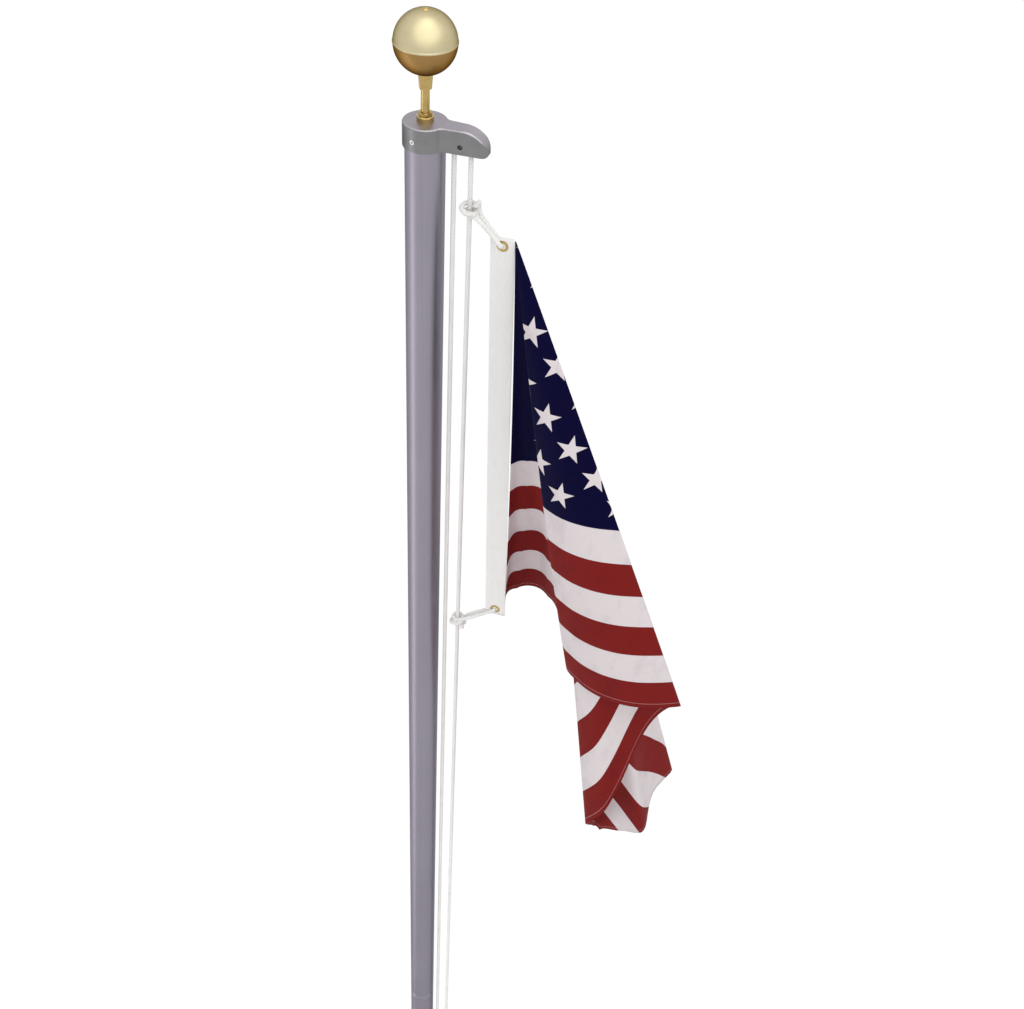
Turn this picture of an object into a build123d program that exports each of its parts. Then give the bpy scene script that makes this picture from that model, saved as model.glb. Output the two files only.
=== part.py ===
"""Sectional aluminium flagpole with a gold ball, a truck with one sheave, a halyard and a hanging flag."""
import os
from math import acos, atan2, cos, degrees, radians, sin, tan

from build123d import *

# Pole: three tubes that push together, from ground level up
pole_diameter = 50.8
pole_wall = 1.65
section_length = 2134.0
swage_length = 152.0
swage_taper = 10.0
swage_clearance = 0.25
ground_depth = 610.0

# Truck: the casting over the top of the pole, with an arm along +X
truck_clearance = 0.3
truck_wall = 2.3
truck_socket_depth = 25.0
truck_cap = 6.0
truck_edge_radius = 2.5
arm_reach = 83.0
arm_root_width = 27.0
arm_tip_width = 21.0
arm_root_offset = 14.0
arm_web_radius = 9.0
arm_nose_start = 50.0
arm_nose_height = 9.0
arm_heel_radius = 5.0

# Sheave, its pin and the pocket for it in the arm
sheave_offset = 48.5
sheave_height = 10.0
sheave_pitch_radius = 10.8
sheave_flange_radius = 12.6
sheave_width = 10.0
sheave_side_clearance = 0.6
sheave_groove_opening = 8.4
pocket_radius = 15.6
pin_diameter = 6.35
pin_fit = 0.05
pin_recess = 0.8

# Set screw in the side of the truck
set_screw_diameter = 6.0
set_screw_socket = 3.0
set_screw_socket_depth = 1.6
set_screw_height = 13.0
set_screw_angle = -104.0
set_screw_proud = 0.4

# Gold ball: two spun half shells on a spindle
ball_diameter = 76.2
ball_shell = 1.0
ball_lip_height = 2.4
ball_lip_proud = 0.5
ball_seam_gap = 0.1
ball_height = 96.7
plug_diameter = 9.0
plug_height = 2.0
spindle_diameter = 11.0
spindle_fit = 0.1
collar_flats = 17.0
collar_height = 19.0
collar_taper = 4.0
jam_nut_flats = 15.0
jam_nut_height = 4.5
flange_nut_diameter = 21.0
flange_nut_height = 6.5
nut_chamfer = 1.0

# Halyard: a rope over the sheave, both runs down to the cleat
rope_diameter = 6.35
rope_clearance = 0.3

# Cleat: a cast horn cleat screwed to the side of the bottom tube
cleat_below_joint = 172.0
cleat_length = 152.0
cleat_reach = 27.0
cleat_middle_diameter = 16.0
cleat_tip_diameter = 9.0
cleat_leg_spacing = 44.0
cleat_leg_diameter = 14.0
cleat_pad_diameter = 24.0
cleat_pad_thickness = 4.0
cleat_saddle_fit = 0.1
screw_diameter = 5.0
screw_head_diameter = 9.0
screw_head_height = 2.2
screw_fit = 0.1

# Hitch on the cleat: places from the cleat's middle, out from the pole's axis, sideways and up
hitch_top = 260.0
hitch_lead = 40.0
hitch_bend = 6.5
hitch_route = [
    (57.0, 19.0, 62.0),
    (45.0, 17.0, -34.0),
    (36.5, 0.0, -45.0),
    (45.0, -15.0, -34.0),
    (60.0, -12.0, -17.0),
    (67.5, 0.0, 2.0),
    (60.0, 12.0, 20.0),
    (45.0, 14.5, 34.0),
    (36.5, 0.0, 42.0),
    (45.0, -15.0, 34.0),
    (62.0, -13.0, 18.0),
    (74.4, 0.0, 1.0),
    (62.0, 16.0, -20.0),
    (45.0, 23.0, -46.0),
    (33.0, 0.0, -60.0),
    (31.0, -21.0, -30.0),
    (33.5, -19.0, 62.0),
]

# Flag: hoist and fly as cut, hung from two grommets in its heading
flag_hoist = 690.0
flag_fly = 1311.0
flag_top_below_truck = 107.0
flag_offset = 120.5
heading_width = 33.0
heading_thickness = 1.6
heading_lean = 1.5
cloth_hem_thickness = 2.0
cloth_seam_gap = 2.1
grommet_diameter = 16.0
grommet_bore = 9.4
grommet_flange = 0.7
grommet_wall = 0.7
grommet_inset = 12.0
grommet_fit = 0.05

# Folds of the hanging cloth, from the heading round to the fly: lean outwards and sideways for each unit of
# drop, then how far the cloth swings outwards and sideways over one hoist of drop
fold_shares = [
    (0.055, 0.045, -0.017, 0.047),
    (0.294, -0.354, -0.065, 0.175),
    (0.624, -0.496, -0.074, 0.200),
    (0.430, -0.300, -0.059, 0.159),
    (0.236, -0.182, -0.015, 0.041),
    (0.214, 0.061, -0.013, 0.035),
    (0.275, 0.135, -0.010, 0.028),
    (0.150, 0.125, -0.010, 0.028),
    (0.275, 0.185, -0.010, 0.028),
    (0.165, 0.180, -0.010, 0.028),
    (0.230, 0.220, -0.010, 0.028),
]
swing_straight_share = 1.16
cloth_level_shares = [0.04, 0.25, 0.5, 0.75, 1.0]

# Ties between the heading and the halyard, each a doubled rope from a two-turn hitch
upper_hitch_below_truck = 76.0
lower_hitch_below_flag = 35.0
hitch_turns = 2
tie_bend = 4.5
tie_spread = 11.0
tie_hitch_spread = 7.0
tie_turn_share = 0.9

overrun = 5.0

# Places worked out from the sizes above
pole_radius = pole_diameter / 2
rope_radius = rope_diameter / 2
pin_radius = pin_diameter / 2
first_joint = section_length - ground_depth - swage_length
second_joint = first_joint + section_length - swage_length
cleat_height = first_joint - cleat_below_joint
pole_top = second_joint + section_length
truck_bottom = pole_top - truck_socket_depth
truck_top = pole_top + truck_cap
truck_height = truck_socket_depth + truck_cap
truck_radius = pole_radius + truck_clearance + truck_wall
sheave_centre = Vector(sheave_offset, 0, truck_bottom + sheave_height)
outer_run = sheave_offset + sheave_pitch_radius
inner_run = sheave_offset - sheave_pitch_radius
ball_centre = truck_top + ball_height
ball_radius = ball_diameter / 2
cleat_axis = pole_radius + cleat_reach
flag_top = truck_bottom - flag_top_below_truck
cloth_length = flag_fly - heading_width


def revolved(points):
    """Solid of revolution about +Z from (radius, height) points."""
    outline = Polyline(*[(radius, 0, height) for radius, height in points], close=True)
    return revolve(make_face(outline), Axis.Z)


def tube(path, radius):
    """Round rope of one radius along a path."""
    return sweep(Plane(path @ 0, z_dir=path % 0) * Circle(radius), path=path)


def pole_section(bottom, joint, top):
    """Tube from bottom to joint, then a drawn-in spigot up to top, or a plain end where both are equal."""
    bore = pole_radius - pole_wall
    outer = [(pole_radius, bottom), (pole_radius, top)]
    inner = [(bore, top), (bore, bottom)]
    if top > joint:
        spigot = bore - swage_clearance
        outer = [(pole_radius, bottom), (pole_radius, joint - swage_taper), (spigot, joint), (spigot, top)]
        inner = [(spigot - pole_wall, top), (spigot - pole_wall, joint), (bore, joint - swage_taper),
                 (bore, bottom)]
    return revolved(outer + inner)


def bottom_section():
    """Lowest tube, drilled for the cleat's screws."""
    section = pole_section(0, first_joint, first_joint + swage_length)
    for height in cleat_leg_heights():
        section -= along_x(height) * extrude(Circle(screw_diameter / 2 + screw_fit), pole_radius + overrun)
    return section


def truck_body():
    """Sleeve over the pole with an arm, a pocket for the sheave and holes for pin, screw and spindle."""
    tip_radius = arm_tip_width / 2
    root = Pos(arm_root_offset, 0) * Circle(arm_root_width / 2)
    tip = Pos(arm_reach - tip_radius, 0) * Circle(tip_radius)
    plan = Circle(truck_radius) + make_hull(root.edges() + tip.edges())
    webs = [v for v in plan.vertices()
            if abs(Vector(v.X, v.Y).length - truck_radius) < truck_clearance]
    plan = fillet(webs, arm_web_radius)
    body = extrude(plan, truck_height)

    start = (arm_nose_start, truck_height)
    nose = (arm_reach, arm_nose_height)
    top_line = Line((-truck_radius, truck_height), start)
    nose_arc = TangentArc(start, nose, tangent=(1, 0))
    heel = Line(nose, (arm_reach, arm_heel_radius))
    heel_end = (arm_reach - arm_heel_radius, 0)
    heel_arc = TangentArc((arm_reach, arm_heel_radius), heel_end, tangent=(0, -1))
    rest = Polyline(heel_end, (-truck_radius, 0), (-truck_radius, truck_height))
    side = make_face(Curve() + [top_line, nose_arc, heel, heel_arc, rest])
    body = body & extrude(Plane.XZ * side, truck_radius, both=True)
    body = fillet(body.faces().sort_by(Axis.Z)[-1].edges(), truck_edge_radius)

    pocket = Pos(sheave_offset, sheave_height) * Circle(pocket_radius)
    mouth = Pos(sheave_offset, sheave_height / 2 - overrun) * Rectangle(
        2 * pocket_radius, sheave_height + 2 * overrun)
    pocket_width = sheave_width + 2 * sheave_side_clearance
    body -= extrude(Plane.XZ * (pocket + mouth), pocket_width / 2, both=True)
    pin_hole = Pos(sheave_offset, sheave_height) * Circle(pin_radius + pin_fit)
    body -= extrude(Plane.XZ * pin_hole, truck_radius, both=True)
    bore = pole_radius + truck_clearance
    body -= Pos(0, 0, -overrun) * extrude(Circle(bore), truck_socket_depth + overrun)
    body -= extrude(Circle(spindle_diameter / 2 + spindle_fit), truck_height + overrun)
    screw_hole = Circle(set_screw_diameter / 2 + spindle_fit)
    body -= set_screw_place() * extrude(screw_hole, 2 * truck_wall, both=True)
    return Pos(0, 0, truck_bottom) * body


def set_screw_place():
    """Frame on the outside of the sleeve, facing out along the screw."""
    out = (cos(radians(set_screw_angle)), sin(radians(set_screw_angle)), 0)
    return Location(Plane(Vector(*out) * truck_radius + Vector(0, 0, set_screw_height), z_dir=out))


def set_screw():
    """Short grub screw with a hexagon socket."""
    length = truck_wall + set_screw_proud
    screw = Pos(0, 0, -truck_wall) * extrude(Circle(set_screw_diameter / 2), length)
    socket = extrude(RegularPolygon(set_screw_socket / 2, 6, major_radius=False), set_screw_socket_depth)
    screw -= Pos(0, 0, set_screw_proud - set_screw_socket_depth) * socket
    return Pos(0, 0, truck_bottom) * set_screw_place() * screw


def sheave():
    """Grooved wheel on the pin, turning about +Y."""
    half = sheave_width / 2
    blank = extrude(Circle(sheave_flange_radius) - Circle(pin_radius + pin_fit), half, both=True)
    root = Pos(sheave_pitch_radius, 0, 0) * (Plane.XZ * Circle(rope_radius + rope_clearance))
    groove = revolve(root, Axis.Z)
    lip = sheave_groove_opening / 2
    rim = sheave_flange_radius + overrun
    flare = revolved([(sheave_pitch_radius, -rope_radius), (rim, -lip - overrun),
                      (rim, lip + overrun), (sheave_pitch_radius, rope_radius)])
    keep = revolved([(0, -half), (sheave_flange_radius, -half), (sheave_flange_radius, half), (0, half)])
    wheel = blank - groove - (flare & keep)
    return Pos(*sheave_centre) * Rot(90, 0, 0) * wheel


def sheave_pin():
    """Plain pin through both cheeks, its ends a little below the faces."""
    length = arm_tip_width - 2 * pin_recess
    return Pos(*sheave_centre) * Rot(90, 0, 0) * extrude(Circle(pin_radius), length / 2, both=True)


def crown_rise(hole_diameter):
    """Height above the ball's middle of a level hole's edge."""
    return ball_radius * sin(acos(hole_diameter / ball_diameter))


def half_ball(hole_diameter):
    """Spun half shell, from the seam up to the edge of a hole at its crown."""
    crown = degrees(acos(hole_diameter / ball_diameter))
    outer = CenterArc((0, 0), ball_radius, 0, crown)
    inner = CenterArc((0, 0), ball_radius - ball_shell, 0, crown)
    wall = make_face(Curve() + [outer, inner, Line(outer @ 0, inner @ 0), Line(outer @ 1, inner @ 1)])
    return revolve(Plane.XZ * wall, Axis.Z)


def ball_upper_half():
    """Upper half ball with the rolled lip at the seam."""
    lip = ball_radius + ball_lip_proud
    inner = ball_radius - ball_shell
    rim = revolved([(inner, 0), (lip, 0), (lip, ball_lip_height / 2), (ball_radius, ball_lip_height),
                    (inner, ball_lip_height)])
    hollow = Sphere(ball_radius - ball_shell)
    return Pos(0, 0, ball_centre) * (half_ball(plug_diameter / 2) + (rim - hollow))


def ball_lower_half():
    """Lower half ball, open at the bottom where the collar holds it."""
    return Pos(0, 0, ball_centre - ball_seam_gap) * Rot(180, 0, 0) * half_ball(collar_flats)


def ball_top_plug():
    """Small dome over the hole at the crown."""
    edge = (plug_diameter / 2, 0)
    crown = (0, plug_height)
    outline = [Line((0, 0), edge), TangentArc(crown, edge, tangent=(1, 0)), Line(crown, (0, 0))]
    dome = revolve(Plane.XZ * make_face(Curve() + outline), Axis.Z)
    return Pos(0, 0, ball_centre) * (Pos(0, 0, crown_rise(plug_diameter)) * dome - Sphere(ball_radius))


def hexagon_nut(flats, height):
    """Hexagon on the spindle with turned corners."""
    blank = extrude(RegularPolygon(flats / 2, 6, major_radius=False), height)
    corner = flats / 2 / cos(radians(30))
    edge = corner - nut_chamfer
    turned = revolved([(0, 0), (edge, 0), (corner, nut_chamfer), (corner, height - nut_chamfer),
                       (edge, height), (0, height)])
    return (blank & turned) - extrude(Circle(spindle_diameter / 2 + spindle_fit), height)


def ball_collar():
    """Hexagon under the ball, tapering down to the spindle."""
    top = ball_centre - ball_seam_gap - crown_rise(collar_flats)
    hexagon = RegularPolygon(collar_flats / 2, 6, major_radius=False)
    body = extrude(hexagon, collar_height, taper=collar_taper)
    body -= extrude(Circle(spindle_diameter / 2 + spindle_fit), collar_height)
    return Pos(0, 0, top) * Rot(180, 0, 0) * body


def flange_nut():
    """Round base on the truck that the spindle screws through."""
    radius = flange_nut_diameter / 2
    bore = spindle_diameter / 2 + spindle_fit
    shoulder = flange_nut_height - nut_chamfer
    base = revolved([(bore, 0), (radius, 0), (radius, shoulder), (radius - nut_chamfer, flange_nut_height),
                     (bore, flange_nut_height)])
    return Pos(0, 0, truck_top) * base


def spindle():
    """Rod from the truck's cap up to the crown of the ball."""
    top = ball_centre + crown_rise(spindle_diameter) - 2 * ball_shell
    return Pos(0, 0, pole_top) * extrude(Circle(spindle_diameter / 2), top - pole_top)


def halyard():
    """Rope from the cleat up over the sheave and down again."""
    foot = cleat_height + hitch_top
    top = sheave_centre.Z
    rising = Line((outer_run, 0, foot), (outer_run, 0, top))
    crest = (sheave_offset, 0, top + sheave_pitch_radius)
    over = ThreePointArc((outer_run, 0, top), crest, (inner_run, 0, top))
    falling = Line((inner_run, 0, top), (inner_run, 0, foot))
    return tube(Wire([rising.edge(), over.edge(), falling.edge()]), rope_radius)


def cleat_hitch():
    """Figure-of-eight turns on the cleat, joining the two runs of the halyard."""
    ends = [(outer_run, 0, hitch_top), (outer_run, 0, hitch_top - hitch_lead)]
    back = [(inner_run, 0, hitch_top - hitch_lead), (inner_run, 0, hitch_top)]
    places = [(x, y, z + cleat_height) for x, y, z in ends + hitch_route + back]
    return tube(FilletPolyline(*places, radius=hitch_bend), rope_radius)


def cleat_leg_heights():
    """Heights of the two legs of the cleat."""
    return [cleat_height - cleat_leg_spacing / 2, cleat_height + cleat_leg_spacing / 2]


def along_x(height):
    """Frame on the pole's axis at a height, facing out along +X."""
    return Location(Plane((0, 0, height), z_dir=(1, 0, 0)))


def cleat():
    """Cast horn cleat: a tapered bar on two legs with pads that fit the tube."""
    half = cleat_length / 2
    tip = cleat_tip_diameter / 2
    belly = ThreePointArc((tip, tip - half), (cleat_middle_diameter / 2, 0), (tip, half - tip))
    slant = tip * cos(radians(45))
    top = ThreePointArc((tip, half - tip), (slant, half - tip + slant), (0, half))
    foot = ThreePointArc((0, -half), (slant, tip - half - slant), (tip, tip - half))
    bar = revolve(Plane.XZ * make_face(Curve() + [belly, top, Line((0, half), (0, -half)), foot]), Axis.Z)
    body = Pos(cleat_axis, 0, cleat_height) * bar
    for height in cleat_leg_heights():
        body += along_x(height) * extrude(Circle(cleat_leg_diameter / 2), cleat_axis)
        pad_top = pole_radius + cleat_pad_thickness
        body += along_x(height) * extrude(Circle(cleat_pad_diameter / 2), pad_top)
    body -= Pos(0, 0, cleat_height - half) * extrude(Circle(pole_radius + cleat_saddle_fit), cleat_length)
    for height in cleat_leg_heights():
        body -= along_x(height) * extrude(Circle(screw_diameter / 2 + screw_fit), cleat_axis + cleat_length)
        seat = cleat_axis + cleat_middle_diameter / 2 - screw_head_height
        sink = Circle(screw_head_diameter / 2 + screw_fit)
        body -= along_x(height) * Pos(0, 0, seat) * extrude(sink, cleat_length)
    return body


def cleat_screws():
    """Two pan-head screws through the cleat's legs into the tube."""
    seat = cleat_axis + cleat_middle_diameter / 2 - screw_head_height
    screws = []
    for height in cleat_leg_heights():
        start = pole_radius - 2 * pole_wall
        shank = Pos(0, 0, start) * extrude(Circle(screw_diameter / 2), seat - start)
        head = Pos(0, 0, seat) * extrude(Circle(screw_head_diameter / 2), screw_head_height)
        screws.append(along_x(height) * (shank + head))
    return Compound(children=screws)


def flag_place():
    """Frame at the top outer corner of the heading, leaning as the heading leans."""
    return Pos(flag_offset, 0, flag_top) * Rot(0, -heading_lean, 0)


def grommet_places():
    """Middles of the upper and lower grommets in the heading's own frame."""
    middle = -heading_width / 2
    return [(middle, 0, -grommet_inset), (middle, 0, grommet_inset - flag_hoist)]


def flag_heading():
    """Folded canvas strip along the hoist, with holes for the grommets."""
    middle = Pos(-heading_width / 2, 0, -flag_hoist / 2)
    strip = middle * Box(heading_width, heading_thickness, flag_hoist)
    for place in grommet_places():
        hole = Circle(grommet_bore / 2 + grommet_wall + grommet_fit)
        strip -= Pos(*place) * Rot(90, 0, 0) * extrude(hole, heading_thickness, both=True)
    return flag_place() * strip


def grommet(place):
    """Brass eyelet: a barrel through the heading with a turned flange on each side."""
    bore = grommet_bore / 2
    half = heading_thickness / 2
    top = half + grommet_flange
    barrel = bore + grommet_wall
    rim = grommet_diameter / 2
    ring = revolved([(bore, -top), (rim, -half), (barrel, -half), (barrel, half), (rim, half), (bore, top)])
    return flag_place() * Pos(*place) * Rot(90, 0, 0) * ring


def cloth_point(fold, drop_length):
    """Place on a fold's line, drop_length along it from the top corner."""
    out, side, swing_out, swing_side = fold
    run = Vector(out, side, -1).normalized() * drop_length
    straight = swing_straight_share * flag_hoist
    curved = min(drop_length, straight)
    bow = curved * (2 * drop_length - curved) / flag_hoist
    return Vector(flag_offset + cloth_seam_gap, 0, flag_top) + run + Vector(swing_out, swing_side, 0) * bow


def cloth_columns():
    """Folds and the middles of the panels between them, each with its flat angle from the hoist."""
    folds = [(tan(radians(heading_lean)), 0, 0, 0)] + fold_shares
    corner = Vector(flag_offset + cloth_seam_gap, 0, flag_top)
    arms = [cloth_point(fold, flag_hoist) - corner for fold in folds]
    angles = [0]
    for first, second in zip(arms, arms[1:]):
        angles.append(angles[-1] + first.get_angle(second))
    full = [90 * angle / angles[-1] for angle in angles]
    columns = []
    for index in range(len(full) - 1):
        halfway = tuple((a + b) / 2 for a, b in zip(folds[index], folds[index + 1]))
        columns.append((full[index], folds[index]))
        columns.append(((full[index] + full[index + 1]) / 2, halfway))
    return columns + [(full[-1], folds[-1])]


def cloth_reach(angle):
    """Length of cloth along a flat ray at an angle from the hoist."""
    if angle < degrees(atan2(cloth_length, flag_hoist)):
        return flag_hoist / cos(radians(angle))
    return cloth_length / sin(radians(angle))


def facets(first, second, third, fourth):
    """Two flat faces that fill the gap between four places."""
    return [Face(Wire.make_polygon([first, second, third])), Face(Wire.make_polygon([first, third, fourth]))]


def cloth_sides():
    """Places on the front and the back of the cloth, for each column from the top down, mitred at folds."""
    columns = cloth_columns()
    middle = [[cloth_point(fold, cloth_reach(angle) * share) for share in cloth_level_shares]
              for angle, fold in columns]
    last = len(columns) - 1
    front = []
    back = []
    for index, places in enumerate(middle):
        start = max(index - 1, 0)
        stop = min(index, last - 1)
        down = (places[-1] - places[0]).normalized()
        offsets = []
        for level, share in enumerate(cloth_level_shares):
            across = [middle[panel + 1][level] - middle[panel][level] for panel in (start, stop)]
            first, second = [side.cross(down).normalized() for side in across]
            mitre = (first + second) * (1 / (1 + first.dot(second)))
            offsets.append(mitre * (cloth_hem_thickness / 2 * share))
        front.append([place + offset for place, offset in zip(places, offsets)])
        back.append([place - offset for place, offset in zip(places, offsets)])
    return front, back


def flag_cloth():
    """Folded sheet hanging from its top corner, thickest at the hems."""
    front, back = cloth_sides()
    steps = range(len(cloth_level_shares) - 1)
    faces = []
    for index in range(len(front) - 1):
        for side in (front, back):
            near = side[index]
            far = side[index + 1]
            for step in steps:
                faces += facets(near[step], near[step + 1], far[step + 1], far[step])
        for end in (0, -1):
            faces += facets(front[index][end], front[index + 1][end], back[index + 1][end], back[index][end])
    for edge in (0, -1):
        near = front[edge]
        far = back[edge]
        for step in steps:
            faces += facets(near[step], near[step + 1], far[step + 1], far[step])
    return Solid(Shell(faces))


def tie(hitch_height, grommet_place):
    """Two turns round the halyard and a doubled rope through a grommet."""
    turn_radius = 2 * rope_radius + rope_clearance
    eye = (flag_place() * Pos(*grommet_place)).position
    hitch = None
    for index in range(hitch_turns):
        rise = (index - (hitch_turns - 1) / 2) * rope_diameter * tie_turn_share
        ring = Pos(outer_run, 0, hitch_height + rise) * Torus(turn_radius, rope_radius)
        hitch = ring if hitch is None else hitch + ring
    start = outer_run + turn_radius
    near = tie_spread / 2
    places = [(start, -tie_hitch_spread / 2, hitch_height),
              (eye.X, -near, eye.Z), (eye.X, near, eye.Z),
              (start, tie_hitch_spread / 2, hitch_height)]
    strand = tube(FilletPolyline(*places, radius=tie_bend), rope_radius)
    return hitch + strand


def write(name, shape):
    """One file for each named piece."""
    export_step(shape, os.path.join("parts", name + ".step"))


os.makedirs("parts", exist_ok=True)
write("bottom_section", bottom_section())
write("middle_section", pole_section(first_joint, second_joint, second_joint + swage_length))
write("top_section", pole_section(second_joint, pole_top, pole_top))
write("truck_body", truck_body())
write("set_screw", set_screw())
write("sheave", sheave())
write("sheave_pin", sheave_pin())
write("ball_upper_half", ball_upper_half())
write("ball_lower_half", ball_lower_half())
write("ball_top_plug", ball_top_plug())
write("ball_collar", ball_collar())
write("ball_spindle", spindle())
write("flange_nut", flange_nut())
write("jam_nut", Pos(0, 0, truck_top + flange_nut_height) * hexagon_nut(jam_nut_flats, jam_nut_height))
write("halyard", halyard())
write("cleat", cleat())
write("cleat_screws", cleat_screws())
write("cleat_hitch", cleat_hitch())
upper, lower = grommet_places()
write("flag_heading", flag_heading())
write("upper_grommet", grommet(upper))
write("lower_grommet", grommet(lower))
write("flag_cloth", flag_cloth())
write("upper_tie", tie(truck_bottom - upper_hitch_below_truck, upper))
write("lower_tie", tie(flag_top - flag_hoist - lower_hitch_below_flag, lower))
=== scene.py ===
import math
from functools import reduce
from itertools import accumulate
from operator import add

import bpy
import numpy as np
from mathutils import Matrix, Vector


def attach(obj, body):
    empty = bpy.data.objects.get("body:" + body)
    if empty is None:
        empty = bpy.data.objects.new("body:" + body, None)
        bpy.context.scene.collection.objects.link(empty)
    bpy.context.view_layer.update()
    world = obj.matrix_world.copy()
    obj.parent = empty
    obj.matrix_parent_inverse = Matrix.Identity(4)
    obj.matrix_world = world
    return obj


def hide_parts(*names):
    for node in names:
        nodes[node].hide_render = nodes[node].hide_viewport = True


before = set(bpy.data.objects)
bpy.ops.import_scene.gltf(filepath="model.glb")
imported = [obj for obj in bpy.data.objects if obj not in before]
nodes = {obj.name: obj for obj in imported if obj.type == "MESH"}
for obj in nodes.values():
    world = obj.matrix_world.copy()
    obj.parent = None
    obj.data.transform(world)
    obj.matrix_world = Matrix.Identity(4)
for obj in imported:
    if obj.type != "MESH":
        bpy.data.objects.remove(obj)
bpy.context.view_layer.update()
print("frame loaded with", len(nodes), "solids")


# shader maths: a Wire is one value in a material, and an operator on it adds the Math node of that name

class Wire:
    def __init__(self, tree, socket=None):
        self.tree = tree
        self.socket = socket

    # a Wire is linked to the socket, and a plain value is set on it
    def feed(self, target, value):
        if isinstance(value, Wire):
            self.tree.links.new(value.socket, target)
        else:
            target.default_value = value

    # any node by its type: settings first, then the values or links of its sockets
    def node(self, kind, settings=None, sockets=None, out=0):
        made = self.tree.nodes.new(kind)
        for name, value in (settings or {}).items():
            setattr(made, name, value)
        for key, value in (sockets or {}).items():
            self.feed(made.inputs[key], value)
        return Wire(self.tree, made.outputs[out])

    # another output of the node that this value comes from
    def also(self, out):
        return Wire(self.tree, self.socket.node.outputs[out])

    # one Math node, with its values in order
    def calc(self, operation, *values):
        return self.node("ShaderNodeMath", {"operation": operation}, dict(enumerate(values)))

    def __add__(self, other):
        return self.calc("ADD", self, other)

    def __radd__(self, other):
        return self.calc("ADD", other, self)

    def __sub__(self, other):
        return self.calc("SUBTRACT", self, other)

    def __rsub__(self, other):
        return self.calc("SUBTRACT", other, self)

    def __mul__(self, other):
        return self.calc("MULTIPLY", self, other)

    def __rmul__(self, other):
        return self.calc("MULTIPLY", other, self)

    def __truediv__(self, other):
        return self.calc("DIVIDE", self, other)

    def __rtruediv__(self, other):
        return self.calc("DIVIDE", other, self)

    def __mod__(self, other):
        return self.calc("FLOORED_MODULO", self, other)

    def __rmod__(self, other):
        return self.calc("FLOORED_MODULO", other, self)

    def __lt__(self, other):
        return self.calc("LESS_THAN", self, other)

    def __gt__(self, other):
        return self.calc("GREATER_THAN", self, other)

    def __abs__(self):
        return self.calc("ABSOLUTE", self)

    def sin(self):
        return self.calc("SINE", self)

    def cos(self):
        return self.calc("COSINE", self)

    def floor(self):
        return self.calc("FLOOR", self)

    def least(self, other):
        return self.calc("MINIMUM", self, other)

    def most(self, other):
        return self.calc("MAXIMUM", self, other)

    # colours a and b mixed by this value
    def mix(self, a, b):
        return self.node("ShaderNodeMix", {"data_type": "RGBA"}, {0: self, 6: a, 7: b}, out=2)


# a colour with nothing see-through
def shade(r, g, b):
    return (r, g, b, 1.0)


# a Principled finish with its fixed values, a Wire to start its maths from, and its sockets
def newFinish(name, fixed):
    material = bpy.data.materials.new(name)
    material.use_nodes = True
    shader = material.node_tree.nodes["Principled BSDF"]
    for key, value in fixed.items():
        shader.inputs[key].default_value = value
    return material, Wire(material.node_tree), shader.inputs


# Object coordinates times a factor along each axis, so that a small factor draws a grain out
def objectPlace(wire, stretch=(1, 1, 1)):
    place = wire.node("ShaderNodeTexCoord", out="Object")
    return wire.node("ShaderNodeMapping", {}, {"Vector": place, "Scale": stretch})


# the piece's own map, as its two shares times the two lengths given
def mapPlace(wire, acrossLength, alongLength):
    flat = wire.node("ShaderNodeUVMap", {"uv_map": "run"})
    across = wire.node("ShaderNodeSeparateXYZ", {}, {0: flat})
    return across * acrossLength, across.also(1) * alongLength


# fractal noise at a scale, with so many layers of detail
def grain(wire, place, scale, detail):
    sockets = {"Vector": place, "Scale": scale, "Detail": detail, "Roughness": 0.55}
    return wire.node("ShaderNodeTexNoise", {}, sockets)


# a plain weave: the product of two sines, with one thread to each half wave
def weaveOf(across, along, pitch):
    return (across * (math.pi / pitch)).sin() * (along * (math.pi / pitch)).sin()


# heights added up, each value times its share
def stacked(shares, **values):
    return reduce(add, (values[name] * share for name, share in shares.items()))


# what changes over a finish: its colour, its roughness where that changes, and a bump by height
def layFinish(wire, sockets, colour, height, marks, roughness=None):
    strength, depth = marks
    bump = wire.node("ShaderNodeBump", {}, {"Height": height, "Strength": strength, "Distance": depth})
    wire.feed(sockets["Base Color"], colour)
    wire.feed(sockets["Normal"], bump)
    if roughness is not None:
        wire.feed(sockets["Roughness"], roughness)


# metals; a grain is given as its scale and detail, marks as a bump's strength and depth

satinTube = dict(
    bright=(0.356, 0.332, 0.382), dull=(0.253, 0.236, 0.277), edge=(0.48, 0.47, 0.51),
    lines=(420, 4.0), lineRun=1.6 / 420, lineShare=0.45, cloud=(26, 5), cloudRun=0.35, cloudShare=0.55,
    smooth=0.28, lineRough=0.12, cloudRough=0.10, marks=(0.12, 0.0004),
)


# drawn aluminium: fine lines along the tube and a soft cloud, added in shares, run from dull to bright
def satinTubeFinish():
    look = satinTube
    fixed = {"Metallic": 1.0, "Specular Tint": shade(*look["edge"])}
    material, wire, sockets = newFinish("satinTube", fixed)
    lines = grain(wire, objectPlace(wire, (1, 1, look["lineRun"])), *look["lines"])
    cloud = grain(wire, objectPlace(wire, (1, 1, look["cloudRun"])), *look["cloud"])
    tone = lines * look["lineShare"] + cloud * look["cloudShare"]
    colour = tone.mix(shade(*look["dull"]), shade(*look["bright"]))
    roughness = look["smooth"] + lines * look["lineRough"] + cloud * look["cloudRough"]
    layFinish(wire, sockets, colour, lines, look["marks"], roughness)
    return material


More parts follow.
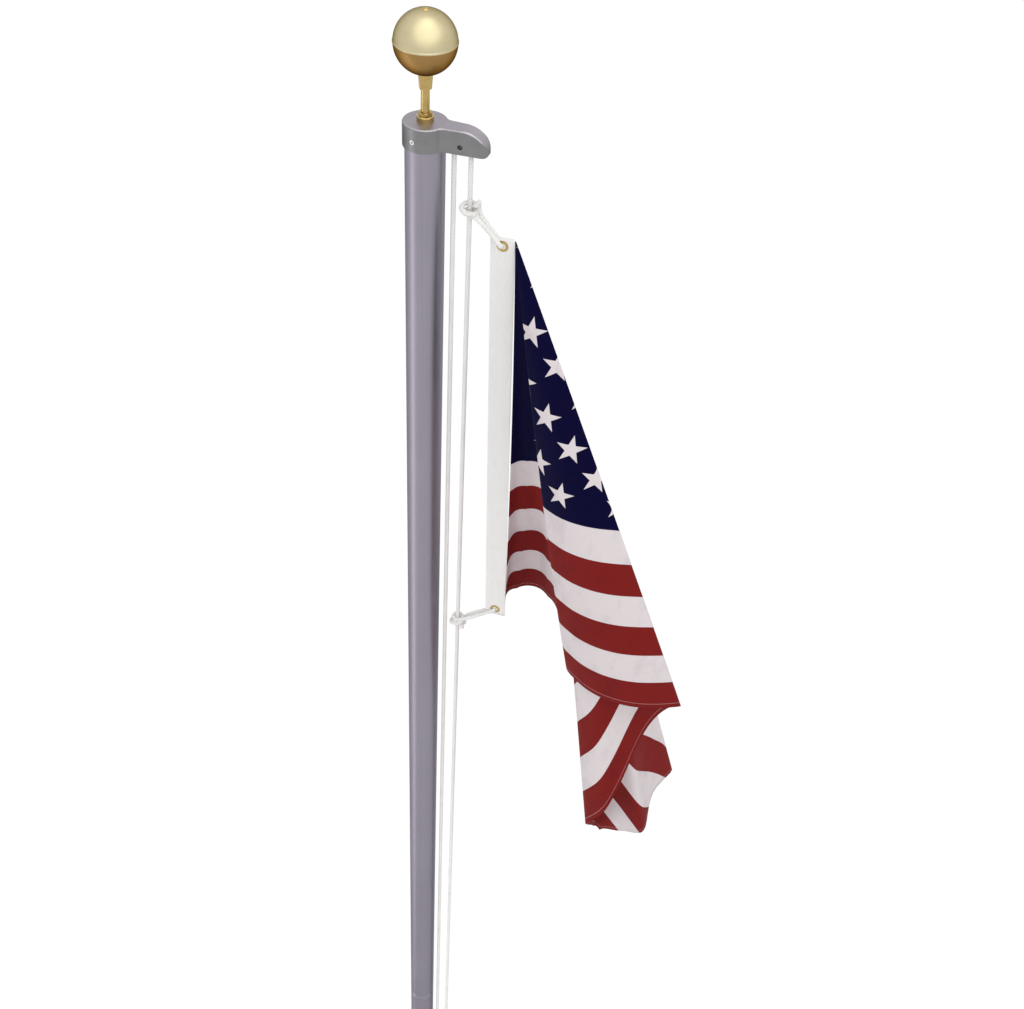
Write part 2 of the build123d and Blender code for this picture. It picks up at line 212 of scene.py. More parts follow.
# the top tones are the same cast metal painted lighter, a painted top light
castMetal = dict(
    bright=(0.285, 0.28, 0.285), dull=(0.165, 0.162, 0.166), topBright=(0.50, 0.47, 0.51),
    topDull=(0.36, 0.34, 0.37), edge=(0.30, 0.29, 0.31), topLightFrom=0.15, topLightTo=0.9, sand=(900, 3),
    sandShare=0.3, cloud=(60, 5), cloudShare=0.7, smooth=0.26, sandRough=0.12, cloudRough=0.14,
    sandHeight=0.6, cloudHeight=0.4, marks=(0.22, 0.0006),
)


# cast metal: sand grain over a cloud, with a painted top light that makes faces lighter by the upward part
# of their own normal
def castMetalFinish():
    look = castMetal
    fixed = {"Metallic": 0.95, "Specular Tint": shade(*look["edge"])}
    material, wire, sockets = newFinish("castMetal", fixed)
    sand = grain(wire, objectPlace(wire), *look["sand"])
    cloud = grain(wire, objectPlace(wire), *look["cloud"])
    normal = wire.node("ShaderNodeTexCoord", out="Normal")
    upward = wire.node("ShaderNodeSeparateXYZ", {}, {0: normal}, out=2)
    # painted top light: the upward part of the normal picks the lighter top tones
    span = {"Value": upward, "From Min": look["topLightFrom"], "From Max": look["topLightTo"]}
    paintedTopLight = wire.node("ShaderNodeMapRange", {"interpolation_type": "SMOOTHSTEP"}, span)
    tone = cloud * look["cloudShare"] + sand * look["sandShare"]
    side = tone.mix(shade(*look["dull"]), shade(*look["bright"]))
    top = tone.mix(shade(*look["topDull"]), shade(*look["topBright"]))
    roughness = look["smooth"] + sand * look["sandRough"] + cloud * look["cloudRough"]
    height = sand * look["sandHeight"] + cloud * look["cloudHeight"]
    layFinish(wire, sockets, paintedTopLight.mix(side, top), height, look["marks"], roughness)
    return material


spunGold = dict(
    rings=(900, 2), ringStretch=(0.02, 0.02, 1), ringShare=0.3, cloud=(34, 5), cloudStretch=(1, 1, 1.4),
    cloudShare=0.7, smooth=0.32, ringRough=0.10, cloudRough=0.12, marks=(0.10, 0.0003),
)
upperGold = dict(pale=(0.645, 0.59, 0.40), gold=(0.49, 0.405, 0.215), edge=(0.03, 0.008, 0.001))
# the lower half is the same gold painted darker, a painted shade below the seam
shadedLowerGold = dict(pale=(0.39, 0.24, 0.095), gold=(0.27, 0.152, 0.048), edge=(0.004, 0.001, 0.0))


# spun gold: rings of tool marks about the pole's axis over a cloud, from gold to pale, with a brown edge
def spunGoldFinish(name, tones):
    look = spunGold
    fixed = {"Metallic": 1.0, "Specular Tint": shade(*tones["edge"])}
    material, wire, sockets = newFinish(name, fixed)
    rings = grain(wire, objectPlace(wire, look["ringStretch"]), *look["rings"])
    cloud = grain(wire, objectPlace(wire, look["cloudStretch"]), *look["cloud"])
    tone = cloud * look["cloudShare"] + rings * look["ringShare"]
    colour = tone.mix(shade(*tones["gold"]), shade(*tones["pale"]))
    roughness = look["smooth"] + rings * look["ringRough"] + cloud * look["cloudRough"]
    layFinish(wire, sockets, colour, rings, look["marks"], roughness)
    return material


turnedBrass = dict(
    bright=(0.56, 0.42, 0.165), dull=(0.34, 0.22, 0.072), turns=(1500, 2), turnStretch=(0.05, 0.05, 1),
    stain=(120, 5), stainShare=0.9, smooth=0.18, stainRough=0.20, marks=(0.12, 0.0003),
)


# turned brass: stains from bright to dull, with fine turning marks about the pole's axis in the bump
def turnedBrassFinish():
    look = turnedBrass
    material, wire, sockets = newFinish("turnedBrass", {"Metallic": 1.0})
    turns = grain(wire, objectPlace(wire, look["turnStretch"]), *look["turns"])
    stain = grain(wire, objectPlace(wire), *look["stain"])
    colour = (stain * look["stainShare"]).mix(shade(*look["bright"]), shade(*look["dull"]))
    roughness = look["smooth"] + stain * look["stainRough"]
    layFinish(wire, sockets, colour, turns, look["marks"], roughness)
    return material


zincSteel = dict(metallic=1.0, bright=(0.66, 0.66, 0.67), dull=(0.44, 0.44, 0.45), cloud=(300, 4),
                 smooth=0.22, cloudRough=0.16, marks=(0.08, 0.0002))
# black steel that is also painted darker, as painted shade for the pin's recessed end
blackSteelAndRecessShade = dict(metallic=1.0, bright=(0.11, 0.105, 0.105), dull=(0.05, 0.048, 0.05), cloud=(300, 4),
                  smooth=0.30, cloudRough=0.16, marks=(0.08, 0.0002))
wheelNylon = dict(metallic=0.0, bright=(0.085, 0.085, 0.09), dull=(0.03, 0.03, 0.032), cloud=(240, 4),
                  smooth=0.32, cloudRough=0.20, marks=(0.10, 0.0003))


# a small part's finish: one cloud runs from dull to bright, and gives roughness and bump too
def cloudedFinish(name, look):
    material, wire, sockets = newFinish(name, {"Metallic": look["metallic"]})
    cloud = grain(wire, objectPlace(wire), *look["cloud"])
    colour = cloud.mix(shade(*look["dull"]), shade(*look["bright"]))
    layFinish(wire, sockets, colour, cloud, look["marks"], look["smooth"] + cloud * look["cloudRough"])
    return material


# the material goes on each named solid's first slot
def dress(material, *names):
    for name in names:
        slots = nodes[name].data.materials
        if len(slots):
            slots[0] = material
        else:
            slots.append(material)


dress(satinTubeFinish(), "bottom_section", "middle_section", "top_section")
dress(castMetalFinish(), "truck_body", "cleat")
dress(spunGoldFinish("spunGoldUpper", upperGold), "ball_upper_half")
# the lower half gets the gold in painted shade
dress(spunGoldFinish("spunGoldLowerShaded", shadedLowerGold), "ball_lower_half")
dress(turnedBrassFinish(), "ball_top_plug", "ball_collar", "ball_spindle", "flange_nut", "jam_nut",
      "upper_grommet", "lower_grommet")
dress(cloudedFinish("zincSteel", zincSteel), "set_screw", "cleat_screws")
# the sheave pin: black steel with painted recess shade
dress(cloudedFinish("blackSteelAndRecessShade", blackSteelAndRecessShade), "sheave_pin")
dress(cloudedFinish("wheelNylon", wheelNylon), "sheave")
print("metals dressed")


# surfaces from grids

# vectors divided by their lengths
def unit(vectors):
    return vectors / np.maximum(np.linalg.norm(vectors, axis=-1, keepdims=True), 1e-12)


# two parameters, one down the rows and one across the columns, as pairs on their grid
def paired(across, down):
    return np.stack(np.broadcast_arrays(across[None, :], down[:, None]), axis=2)


# the four corners of each cell of a grid, in order round it
def cellCorners(grid):
    return np.stack([grid[:-1, :-1], grid[1:, :-1], grid[1:, 1:], grid[:-1, 1:]], axis=2)


# a mesh from a grid of places: quads between neighbours, wrapped across where it closes on itself,
# and a fan of triangles to the middle of the first and last row where it has caps
def gridPiece(name, grid, uv, material, body, wrap=False, caps=False):
    rows, columns = grid.shape[:2]
    index = np.arange(rows * columns).reshape(rows, columns)
    if wrap:
        index = np.concatenate([index, index[:, :1]], axis=1)
    faces = cellCorners(index).reshape(-1, 4).tolist()
    loopUv = [cellCorners(uv).reshape(-1, 2)]
    places = grid.reshape(-1, 3)
    if caps:
        for row, order in ((0, -1), (-1, 1)):  # the first cap is turned round so that it faces out
            edge, edgeUv = index[row][::order], uv[row][::order]
            middle = np.full(len(edge) - 1, len(places))
            faces += np.stack([edge[1:], edge[:-1], middle], axis=1).tolist()
            loopUv.append(np.stack([edgeUv[1:], edgeUv[:-1], edgeUv[1:]], axis=1).reshape(-1, 2))
            places = np.concatenate([places, grid[row].mean(0, keepdims=True)])
    mesh = bpy.data.meshes.new(name)
    mesh.from_pydata(places.tolist(), [], faces)
    layer = mesh.uv_layers.new(name="run")
    layer.data.foreach_set("uv", np.concatenate(loopUv).astype(np.float32).ravel())
    mesh.materials.append(material)
    mesh.shade_smooth()
    piece = bpy.data.objects.new(name, mesh)
    bpy.context.scene.collection.objects.link(piece)
    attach(piece, body)
    return piece


# halyard rope: a diamond braid with as many yarns each way

rope = dict(
    diameter=0.00635, around=16, endSteps=4, endRound=0.6, mapLength=10.0, yarns=8, braidRun=0.0105,
    light=(0.93, 0.925, 0.91), dirtAndShade=(0.70, 0.68, 0.64), stain=(70, 5), stainRun=0.4, stainFrom=0.42,
    stainShare=0.9, gapShadeShare=0.5, marks=(0.7, 0.0009),
)


# points along an order 3 NURBS, with the route's points, given in millimetres, as its control points
def routeLine(route, perSpan):
    curve = bpy.data.curves.new("route", "CURVE")
    curve.dimensions = "3D"
    spline = curve.splines.new("NURBS")
    spline.points.add(len(route) - 1)
    control = np.c_[np.array(route, float) / 1000, np.ones(len(route))]
    spline.points.foreach_set("co", control.ravel())
    spline.order_u = 3
    spline.use_endpoint_u = True
    spline.resolution_u = perSpan
    holder = bpy.data.objects.new("route", curve)
    mesh = bpy.data.meshes.new_from_object(holder)
    line = np.empty(len(mesh.vertices) * 3)
    mesh.vertices.foreach_get("co", line)
    bpy.data.objects.remove(holder)
    bpy.data.curves.remove(curve)
    bpy.data.meshes.remove(mesh)
    return line.reshape(-1, 3)


# the braid: yarns each way are the sizes of two sines, of the turn plus and minus the climb; a chequer of
# sines says which lies on top; painted shade in the gaps between yarns and a dirt stain make it darker
def braidFinish():
    fixed = {"Metallic": 0.0, "Roughness": 0.75, "Specular IOR Level": 0.3}
    material, wire, sockets = newFinish("braidedRope", fixed)
    turn, climb = mapPlace(wire, rope["yarns"], rope["mapLength"] / rope["braidRun"])
    oneWay = abs(((turn + climb) * math.pi).sin())
    otherWay = abs(((turn - climb) * math.pi).sin())
    over = (turn * 2 * math.pi).sin() * (climb * 2 * math.pi).sin() > 0
    yarn = oneWay * over + otherWay * (1 - over)
    stain = grain(wire, objectPlace(wire, (1, 1, rope["stainRun"])), *rope["stain"])
    # the gaps between yarns are painted shade, and the stain is dirt
    tone = (1 - yarn) * rope["gapShadeShare"] + (stain - rope["stainFrom"]) * rope["stainShare"]
    colour = tone.most(0.0).least(1.0).mix(shade(*rope["light"]), shade(*rope["dirtAndShade"]))
    layFinish(wire, sockets, colour, yarn, rope["marks"])
    return material


ropeFinish = braidFinish()


# a round rope: circles across the line, each frame carried on from the last with no twist, closing in at
# both ends; its map runs once around, and along it one unit is the map's length in metres
def ropePiece(name, line, body, replaced):
    radius = rope["diameter"] / 2
    line = line[np.r_[True, np.linalg.norm(np.diff(line, axis=0), axis=1) > 1e-6]]
    along = unit(np.gradient(line, axis=0))
    first = unit(np.cross(along[0], (0.31, 0.83, 0.46)))  # any direction that no rope starts along
    carried = accumulate(along[1:], lambda side, ahead: unit(side - ahead * (side @ ahead)), initial=first)
    across = np.array(list(carried))
    beside = np.cross(along, across)
    run = np.r_[0, np.cumsum(np.linalg.norm(np.diff(line, axis=0), axis=1))]
    bend = np.arange(1, rope["endSteps"]) / rope["endSteps"] * math.pi / 2
    girth = np.r_[np.sin(bend), np.ones(len(line)), np.cos(bend)] * radius
    shift = np.r_[-np.cos(bend), np.zeros(len(line)), np.sin(bend)] * radius * rope["endRound"]
    pick = np.clip(np.arange(-len(bend), len(line) + len(bend)), 0, len(line) - 1)
    turn = np.linspace(0, 2 * math.pi, rope["around"], endpoint=False)[None, :, None]
    ring = np.cos(turn) * across[pick][:, None] + np.sin(turn) * beside[pick][:, None]
    grid = (line[pick] + along[pick] * shift[:, None])[:, None] + ring * girth[:, None, None]
    uv = paired(np.linspace(0, 1, rope["around"] + 1), (run[pick] + shift) / rope["mapLength"])
    piece = gridPiece(name, grid, uv, ropeFinish, body, wrap=True, caps=True)
    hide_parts(replaced)
    print(name, "is", round(float(run[-1]), 3), "m of rope")


# up the outer run, over the sheave and down the inner run
halyardRoute = [
    (59.3, 0, 1460), (59.3, 0, 1800), (59.3, 0, 3400), (59.3, 0, 5000), (59.3, 0, 5435),
    (59.3, 0, 5462.2), (59.3, 0, 5483.8), (37.7, 0, 5483.8), (37.7, 0, 5462.2),
    (37.7, 0, 5435), (37.7, 0, 5000), (37.7, 0, 3400), (37.7, 0, 1800), (37.7, 0, 1460),
]
ropePiece("halyardRope", routeLine(halyardRoute, perSpan=16), "pole", "halyard")

# figure-of-eight turns on the cleat
hitchRoute = [
    (59.3, 0, 1460), (59.3, 0, 1420), (57, 19, 1262), (45, 17, 1166), (36.5, 0, 1155), (45, -15, 1166),
    (60, -12, 1183), (67.5, 0, 1202), (60, 12, 1220), (45, 14.5, 1234), (36.5, 0, 1242), (45, -15, 1234),
    (62, -13, 1218), (74.4, 0, 1201), (62, 16, 1180), (45, 23, 1154), (33, 0, 1140), (31, -21, 1170),
    (33.5, -19, 1262), (37.7, 0, 1420), (37.7, 0, 1460),
]
ropePiece("hitchRope", routeLine(hitchRoute, perSpan=14), "pole", "cleat_hitch")

# each tie, from its knot: a short end, out through the grommet and back, two turns round the halyard,
# and the other short end
upperKnot = (59.3, 0, 5387)
upperTieRoute = [
    (11.5, 1.5, 11), (10.5, 4.5, 7), (9.5, 6.4, -1), (14, 4.6, -11), (30, 3.5, -28), (40.5, 3.9, -39),
    (44.6, 3.6, -43.0), (44.4, 0, -42.9), (44.6, -3.6, -43.0), (40.5, -3.9, -39), (30, -3.4, -27),
    (15, -4.6, -12), (5.1, -6.2, -5.4), (0, -7.3, -5), (-5.1, -5.1, -5), (-7.2, 0, -5), (-5.1, 5.1, -5),
    (0, 7.2, -4.6), (5.6, 5.6, -4), (9.4, -1, -3.4), (8.6, -9.4, -1.8), (0, -13.2, 0), (-8.8, -9.2, 2),
    (-9.2, 0, 3.8), (-5.1, 5.1, 4.6), (0, 7.2, 5), (5.1, 5.1, 5.2), (8.0, -1, 6.0), (9.5, -5, 8.5),
    (11, -8, 11.5),
]
upperTieLine = routeLine(np.array(upperTieRoute) + upperKnot, perSpan=8)
ropePiece("upperTieRope", upperTieLine, "flag", "upper_tie")

lowerKnot = (59.3, 0, 4631)
lowerTieRoute = [
    (10.5, 2, -10), (10.5, 5, -6), (10, 6.4, 1), (17, 4.6, 11), (38, 3.5, 28), (56.5, 3.9, 42.2),
    (61.8, 3.6, 46.0), (61.6, 0, 45.9), (61.8, -3.6, 46.0), (56.5, -3.9, 42.2), (38, -3.4, 27),
    (16, -4.6, 10), (5.1, -6.2, 5.4), (0, -7.3, 5), (-5.1, -5.1, 5), (-7.2, 0, 5), (-5.1, 5.1, 5),
    (0, 7.2, 4.6), (5.6, 5.6, 4), (9.4, -1, 3.4), (8.6, -9.4, 1.8), (0, -13.2, 0), (-8.8, -9.2, -2),
    (-9.2, 0, -3.8), (-5.1, 5.1, -4.6), (0, 7.2, -5), (5.1, 5.1, -5.2), (8.0, -1, -6.0), (9.5, -5, -8),
    (10.5, -8, -10.5),
]
lowerTieLine = routeLine(np.array(lowerTieRoute) + lowerKnot, perSpan=8)
ropePiece("lowerTieRope", lowerTieLine, "flag", "lower_tie")


# heading: a folded canvas strip down the leaning hoist

heading = dict(
    width=0.033, thickness=0.0016, hoist=0.690, lean=1.5, top=(0.1205, 0, 5.356), squareness=0.45, rows=141,
    around=36, ripple=0.0006, waves=((41, 0, 1), (97, 1, 0.6)), quietEnd=0.06, canvas=(0.88, 0.87, 0.855),
    shadeAndSlubTone=(0.68, 0.66, 0.63), thread=(0.88, 0.87, 0.85), weave=0.0007, stitch=0.0034, stitchShare=0.68,
    stitchRows=(0.0030, 0.0090), stitchWidth=0.0005, fold=0.0105, foldWidth=0.0004, slub=(160, 5),
    slubRun=0.25, slubTone=0.9, foldShade=0.05, gapShade=0.10, marks=(0.4, 0.0005),
    heights=dict(weave=0.25, thread=0.5, fold=-0.2, slub=0.8),
)


# canvas: two dashed rows of stitches beside each edge, painted shade along a fold line and in the gaps of
# the stitch rows, and slubs that darken it at random on either side of their mean
def canvasFinish():
    fixed = {"Metallic": 0.0, "Roughness": 0.85, "Sheen Weight": 0.2}
    material, wire, sockets = newFinish("headingCanvas", fixed)
    across, down = mapPlace(wire, heading["width"], heading["hoist"])
    weave = weaveOf(across, down, heading["weave"])
    inset = across.least(heading["width"] - across)
    outer, inner = (abs(inset - place) < heading["stitchWidth"] for place in heading["stitchRows"])
    row = outer + inner
    dash = ((down / heading["stitch"]) % 1.0) < heading["stitchShare"]
    thread = row * dash
    fold = abs(inset - heading["fold"]) < heading["foldWidth"]
    slub = grain(wire, objectPlace(wire, (1, 1, heading["slubRun"])), *heading["slub"])
    gap = row * (1 - dash)
    # painted shade along the fold line and in the stitch gaps, added to the canvas's own slub tone
    shadeAndSlubTone = abs(slub - 0.5) * heading["slubTone"] + fold * heading["foldShade"] + gap * heading["gapShade"]
    plain = shadeAndSlubTone.least(1.0).mix(shade(*heading["canvas"]), shade(*heading["shadeAndSlubTone"]))
    height = stacked(heading["heights"], weave=weave, thread=thread, fold=fold, slub=slub)
    layFinish(wire, sockets, thread.mix(plain, shade(*heading["thread"])), height, heading["marks"])
    return material


# the strip's section is a superellipse, wide and thin, carried down the hoist; two sines ripple its middle,
# and the ripple dies away at the grommets
def headingPiece():
    share = np.linspace(0, 1, heading["rows"])
    turn = np.linspace(0, 2 * math.pi, heading["around"], endpoint=False)
    circle = np.array([np.cos(turn), np.sin(turn)])
    across, through = np.sign(circle) * np.abs(circle) ** heading["squareness"]
    quiet = heading["quietEnd"]
    away = np.sin(math.pi * np.clip((share - quiet) / (1 - 2 * quiet), 0, 1)) ** 0.5
    sines = [size * np.sin(share * rate + start) for rate, start, size in heading["waves"]]
    wave = heading["ripple"] * away * np.sum(sines, axis=0)
    lean = math.radians(heading["lean"])
    offset = heading["width"] * (across - 1) / 2
    drop = -heading["hoist"] * share
    x = heading["top"][0] + offset[None, :] * math.cos(lean) - drop[:, None] * math.sin(lean)
    z = heading["top"][2] + offset[None, :] * math.sin(lean) + drop[:, None] * math.cos(lean)
    y = through[None, :] * heading["thickness"] / 2 + wave[:, None] * (1 - across ** 2)[None, :]
    uv = paired(np.r_[across, across[:1]] / 2 + 0.5, share)
    grid = np.stack([x, y, z], axis=2)
    piece = gridPiece("headingStrip", grid, uv, canvasFinish(), "flag", wrap=True, caps=True)
    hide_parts("flag_heading")
    return piece


headingStrip = headingPiece()
print("heading made")


# flag cloth: every line from its top corner hangs as one ray, which leans out and sideways and swings back
# as it drops; folds are where the rays turn round, and the flat angle from the hoist says which ray holds
# a place

cloth = dict(
    hoist=0.690, length=1.278, corner=(0.1204, 0, 5.356), straightShare=1.16, thickness=0.0007,
    tightBend=0.8, softBend=2.4, creaseReach=3, rayCount=271, rowCount=113, tipShare=0.003,
    creases=(0, 1.5, 4.5, 7.5, 15.6, 31.6, 49, 61.6, 66, 68.3, 70.4, 76, 80.6, 85.3),
    rays=[  # flat angle, lean out, lean sideways, swing out, swing sideways
        (0, 0.026, 0, 0, 0),
        (1.5, 0.103, -0.001, -0.100, 0.064),
        (3, 0.164, -0.016, -0.150, 0.109),
        (4.5, 0.218, -0.029, -0.140, 0.134),
        (6, 0.225, -0.075, -0.107, 0.153),
        (8, 0.229, -0.131, -0.079, 0.164),
        (10, 0.234, -0.188, -0.060, 0.167),
        (12.5, 0.247, -0.250, -0.043, 0.167),
        (15.6, 0.251, -0.328, -0.030, 0.162),
        (20.4, 0.355, -0.394, -0.052, 0.148),
        (26, 0.494, -0.433, -0.069, 0.145),
        (31.6, 0.659, -0.437, -0.091, 0.159),
        (34.5, 0.599, -0.371, -0.095, 0.165),
        (38, 0.516, -0.338, -0.099, 0.164),
        (42, 0.410, -0.307, -0.060, 0.110),
        (45.5, 0.331, -0.230, -0.036, 0.045),
        (49, 0.282, -0.178, -0.046, 0.033),
        (55, 0.255, -0.070, -0.049, 0.036),
        (61.6, 0.214, 0.052, -0.045, 0.036),
        (66, 0.322, 0.052, -0.053, 0.016),
        (68.3, 0.286, 0.107, -0.042, 0.029),
        (70.4, 0.330, 0.135, -0.039, 0.037),
        (73, 0.235, 0.134, -0.024, 0.036),
        (76, 0.170, 0.135, -0.008, 0.035),
        (80.6, 0.250, 0.175, -0.012, 0.033),
        (85.3, 0.170, 0.190, -0.010, 0.033),
        (90, 0.235, 0.215, -0.012, 0.033),
    ],
)
pattern = dict(
    stripes=13, fieldWidth=0.524, fieldStripes=7, columns=12, rows=10, star=0.0220,
    red=(0.200, 0.0135, 0.0125), white=(0.73, 0.665, 0.68), navy=(0.0014, 0.0008, 0.026),
    thread=(0.62, 0.40, 0.40), threadShare=0.6, seam=0.0022, fieldSeam=0.004, hem=0.011, hemRow=0.0085,
    hemRowWidth=0.0006, stitch=0.0032, stitchShare=0.7, weave=0.0009, crease=(42, 5), creaseRun=0.5,
    creaseShade=(0.012, 0.006, 0.02), creaseShare=0.6, smooth=0.62, creaseRough=0.2, starRough=-0.08,
    marks=(0.45, 0.0007), heights=dict(weave=0.18, star=0.7, seam=0.6, stitches=0.6, hem=0.5, crease=1.5),
)
stripe = cloth["hoist"] / pattern["stripes"]
fieldDrop = stripe * pattern["fieldStripes"]


# fold values by flat angle: straight lines between the rays, blurred a little at creases and more elsewhere
def foldTable(angles, values, step=0.05, margin=12, reach=8):
    table = np.linspace(-margin, 90 + margin, round((90 + 2 * margin) / step) + 1)
    sharp = np.interp(table, angles, values)
    half = round(reach / step)
    padded = np.pad(sharp, half, mode="edge")
    apart = np.arange(-half, half + 1) * step

    def blurred(width):
        kernel = np.exp(-0.5 * (apart / width) ** 2)
        return np.convolve(padded, kernel / kernel.sum(), mode="valid")

    nearest = np.abs(table[:, None] - np.array(cloth["creases"])).min(1)
    tight = np.exp(-(nearest / cloth["creaseReach"]) ** 2)
    return table, tight * blurred(cloth["tightBend"]) + (1 - tight) * blurred(cloth["softBend"])


# a flat place by its distance and angle from the corner: along its ray's lean by the distance, and off it by
# the swing times a bow that grows with the square of the distance and then in a straight line
def clothPlaces(fly, drop):
    distance = np.hypot(fly, drop)
    angle = np.degrees(np.arctan2(fly, drop))
    angles, *columns = np.array(cloth["rays"]).T
    out, side, swingOut, swingSide = (np.interp(angle, *foldTable(angles, values)) for values in columns)
    lean = unit(np.stack([out, side, -np.ones_like(out)], axis=-1))
    swing = np.stack([swingOut, swingSide, np.zeros_like(out)], axis=-1)
    curved = np.minimum(distance, cloth["straightShare"] * cloth["hoist"])
    bow = curved * (2 * distance - curved) / cloth["hoist"]
    return np.array(cloth["corner"]) + lean * distance[..., None] + swing * bow[..., None]


# inside a five-pointed star about the origin: the angle is folded into half a point, whose edge is straight
def starAt(wire, x, y):
    ray = wire.calc("SQRT", x * x + y * y)
    turn = wire.calc("ARCTAN2", x, 0 - y)
    fifth = 2 * math.pi / 5
    folded = abs((turn + fifth / 2) % fifth - fifth / 2)
    return ray * (folded - fifth).cos() < pattern["star"] * math.cos(fifth)


# stripes by odd and even parts of the hoist, and over them the field, with stars at every second crossing of
# its columns and rows: one set on the odd ones and one, without the border, on the even ones
def flagPattern(wire, fly, drop):
    white = (drop / stripe).floor() % 2.0
    field = (fly < pattern["fieldWidth"]) * (drop < fieldDrop)
    w, h = pattern["fieldWidth"] / pattern["columns"], fieldDrop / pattern["rows"]
    odd = starAt(wire, fly % (2 * w) - w, drop % (2 * h) - h)
    even = starAt(wire, (fly - w) % (2 * w) - w, (drop - h) % (2 * h) - h)
    insideWide = abs(fly - pattern["fieldWidth"] / 2) < (pattern["columns"] / 2 - 1) * w
    insideHigh = abs(drop - fieldDrop / 2) < (pattern["rows"] / 2 - 1) * h
    star = odd.most(even * insideWide * insideHigh) * field
    striped = white.mix(shade(*pattern["red"]), shade(*pattern["white"]))
    starred = star.mix(shade(*pattern["navy"]), shade(*pattern["white"]))
    return field.mix(striped, starred), field, star


# seams where stripes meet outside the field, the turned hem along the free edges, and its dashed stitches
def flagSewing(fly, drop, field):
    fromSeam = abs((drop / stripe + 0.5) % 1.0 - 0.5) * stripe
    inField = field * (drop < fieldDrop - pattern["fieldSeam"])
    seam = (fromSeam < pattern["seam"]) * (1 - inField)
    edge = drop.least(cloth["hoist"] - drop).least(cloth["length"] - fly)
    dash = (((fly + drop) / pattern["stitch"]) % 1.0) < pattern["stitchShare"]
    stitches = (abs(edge - pattern["hemRow"]) < pattern["hemRowWidth"]) * dash
    return seam, edge < pattern["hem"], stitches


# the pattern with thread over it and painted shade in its creases, and all of them in the bump
def flagFinish():
    material, wire, sockets = newFinish("flagCloth", {"Metallic": 0.0, "Specular IOR Level": 0.06})
    fly, drop = mapPlace(wire, cloth["length"], cloth["hoist"])
    plain, field, star = flagPattern(wire, fly, drop)
    seam, hem, stitches = flagSewing(fly, drop, field)
    weave = weaveOf(fly, drop, pattern["weave"])
    crease = grain(wire, objectPlace(wire, (1, 1, pattern["creaseRun"])), *pattern["crease"])
    sewn = (stitches * pattern["threadShare"]).mix(plain, shade(*pattern["thread"]))
    # painted shade: the cloth is darkened where the crease grain is above its mean
    paintedCreaseShade = (crease - 0.5).most(0.0) * pattern["creaseShare"]
    colour = paintedCreaseShade.mix(sewn, shade(*pattern["creaseShade"]))
    roughness = pattern["smooth"] + crease * pattern["creaseRough"] + star * pattern["starRough"]
    raised = dict(weave=weave, star=star, seam=seam, stitches=stitches, hem=hem, crease=crease)
    layFinish(wire, sockets, colour, stacked(pattern["heights"], **raised), pattern["marks"], roughness)
    return material


# rays from the top corner by rows along them, so that every fold lies on mesh edges; the map is the cloth
# laid flat
def clothPiece():
    hoist, length = cloth["hoist"], cloth["length"]
    lowCorner = math.degrees(math.atan2(length, hoist))
    even = np.linspace(0, 90, cloth["rayCount"])
    angle = np.radians(np.unique(np.r_[even, cloth["creases"], lowCorner]))
    toFoot = hoist / np.maximum(np.cos(angle), 1e-9)
    toFly = length / np.maximum(np.sin(angle), 1e-9)
    distance = np.linspace(cloth["tipShare"], 1, cloth["rowCount"])[:, None] * np.minimum(toFoot, toFly)
    fly, drop = distance * np.sin(angle), distance * np.cos(angle)
    flat = np.stack([fly / length, drop / hoist], axis=2)
    piece = gridPiece("flagSheet", clothPlaces(fly, drop), flat, flagFinish(), "flag")
    shell = piece.modifiers.new("shell", "SOLIDIFY")
    shell.thickness = cloth["thickness"]
    shell.offset = 0
    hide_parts("flag_cloth")


clothPiece()
print("flag made")


# stage: a pale floor and plain sky that read white, a wide soft sun, a tall strip lamp beside the pole and a
# round one above it

stage = dict(floorSize=40.0, floorGrey=(0.86, 0.86, 0.86), floorGlow=1.08, glowShare=0.75, sky=0.56)
lamps = dict(
    softSun=dict(kind="SUN", azimuth=-60, height=56, energy=1.55, values=dict(angle=math.radians(90))),
    tallStrip=dict(kind="AREA", azimuth=-146, height=0, energy=13, distance=2.0, aim=(0, 0, 2.6),
                   values=dict(shape="RECTANGLE", size=0.46, size_y=4.2)),
    topSoft=dict(kind="AREA", azimuth=0, height=84, energy=1.6, distance=1.5, aim=(0, 0, 5.6),
                 values=dict(shape="DISK", size=0.8)),
)


# 1 for what is seen directly, mirrored or through glass: the largest of three kinds of ray
def seenRays(wire):
    direct = wire.node("ShaderNodeLightPath", out="Is Camera Ray")
    return direct.most(direct.also("Is Glossy Ray")).most(direct.also("Is Transmission Ray"))


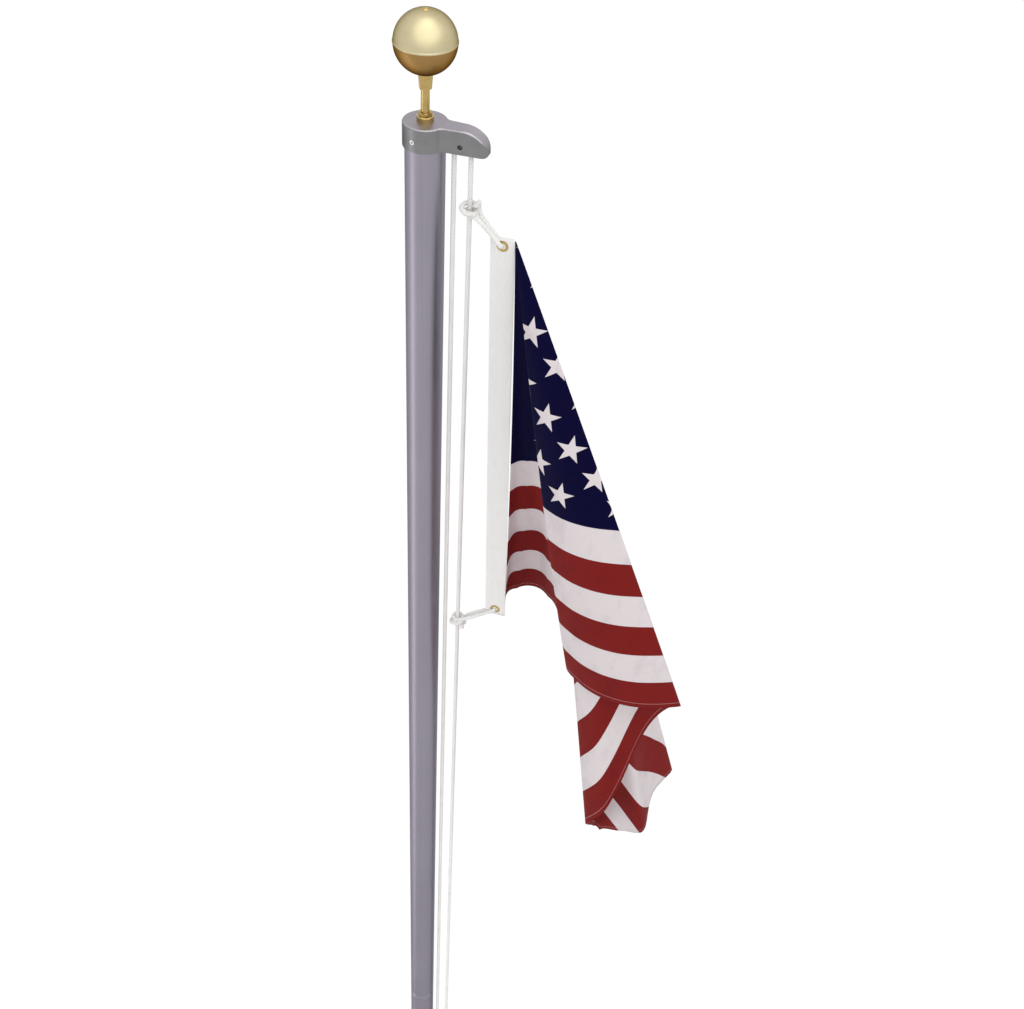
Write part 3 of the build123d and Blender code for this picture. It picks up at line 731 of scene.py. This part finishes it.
# a square that is matt for light and mostly white where it is seen, so that it keeps the object's shadow
def floorPiece():
    side = stage["floorSize"]
    mesh = bpy.data.meshes.new("paleFloor")
    square = [(-side, -side, 0), (side, -side, 0), (side, side, 0), (-side, side, 0)]
    mesh.from_pydata(square, [], [(0, 1, 2, 3)])
    material = bpy.data.materials.new("paleFloor")
    material.use_nodes = True
    tree = material.node_tree
    tree.nodes.remove(tree.nodes["Principled BSDF"])
    wire = Wire(tree)
    matt = wire.node("ShaderNodeBsdfDiffuse", {}, {"Color": shade(*stage["floorGrey"])})
    white = wire.node("ShaderNodeEmission", {}, {"Strength": stage["floorGlow"]})
    both = wire.node("ShaderNodeMixShader", {}, {0: seenRays(wire) * stage["glowShare"], 1: matt, 2: white})
    wire.feed(tree.nodes["Material Output"].inputs["Surface"], both)
    mesh.materials.append(material)
    floor = bpy.data.objects.new("paleFloor", mesh)
    bpy.context.scene.collection.objects.link(floor)


# white where it is seen, and a dimmer sky for light
def skyLight():
    world = bpy.data.worlds.new("paleSky")
    world.use_nodes = True
    bpy.context.scene.world = world
    wire = Wire(world.node_tree)
    background = world.node_tree.nodes["Background"]
    background.inputs["Color"].default_value = shade(1, 1, 1)
    wire.feed(background.inputs["Strength"], stage["sky"] + seenRays(wire) * (1 - stage["sky"]))


# a lamp at a distance from its aim, on the side given by azimuth and height in degrees, facing the aim
def lamp(name, kind, azimuth, height, energy, values, distance=3.0, aim=(0.1, 0, 5.2)):
    data = bpy.data.lights.new(name, kind)
    data.energy = energy
    for key, value in values.items():
        setattr(data, key, value)
    turn, rise = math.radians(azimuth), math.radians(height)
    back = Vector((math.cos(turn) * math.cos(rise), math.sin(turn) * math.cos(rise), math.sin(rise)))
    made = bpy.data.objects.new(name, data)
    made.location = Vector(aim) + back * distance
    made.rotation_euler = back.to_track_quat("Z", "Y").to_euler()
    bpy.context.scene.collection.objects.link(made)


floorPiece()
skyLight()
for name, look in lamps.items():
    lamp(name, **look)

# camera: the photograph's place, seen down along the pole from above its top
camera = dict(place=(0.51184, -1.38496, 6.23812), right=(0.95197, 0.30243, 0.04771),
              up=(-0.23927, 0.63761, 0.73227), lens=46.53, sensor=36.0, clip=(0.05, 200))
eye = bpy.data.cameras.new("eye")
eye.lens = camera["lens"]
eye.sensor_width = camera["sensor"]
eye.sensor_fit = "HORIZONTAL"
eye.clip_start, eye.clip_end = camera["clip"]
eyeObject = bpy.data.objects.new("eye", eye)
right, up = Vector(camera["right"]), Vector(camera["up"])
turned = Matrix((right, up, right.cross(up))).transposed().to_4x4()
eyeObject.matrix_world = Matrix.Translation(camera["place"]) @ turned
bpy.context.scene.collection.objects.link(eyeObject)
bpy.context.scene.camera = eyeObject
bpy.context.scene.view_settings.view_transform = "Standard"
print("stage set")
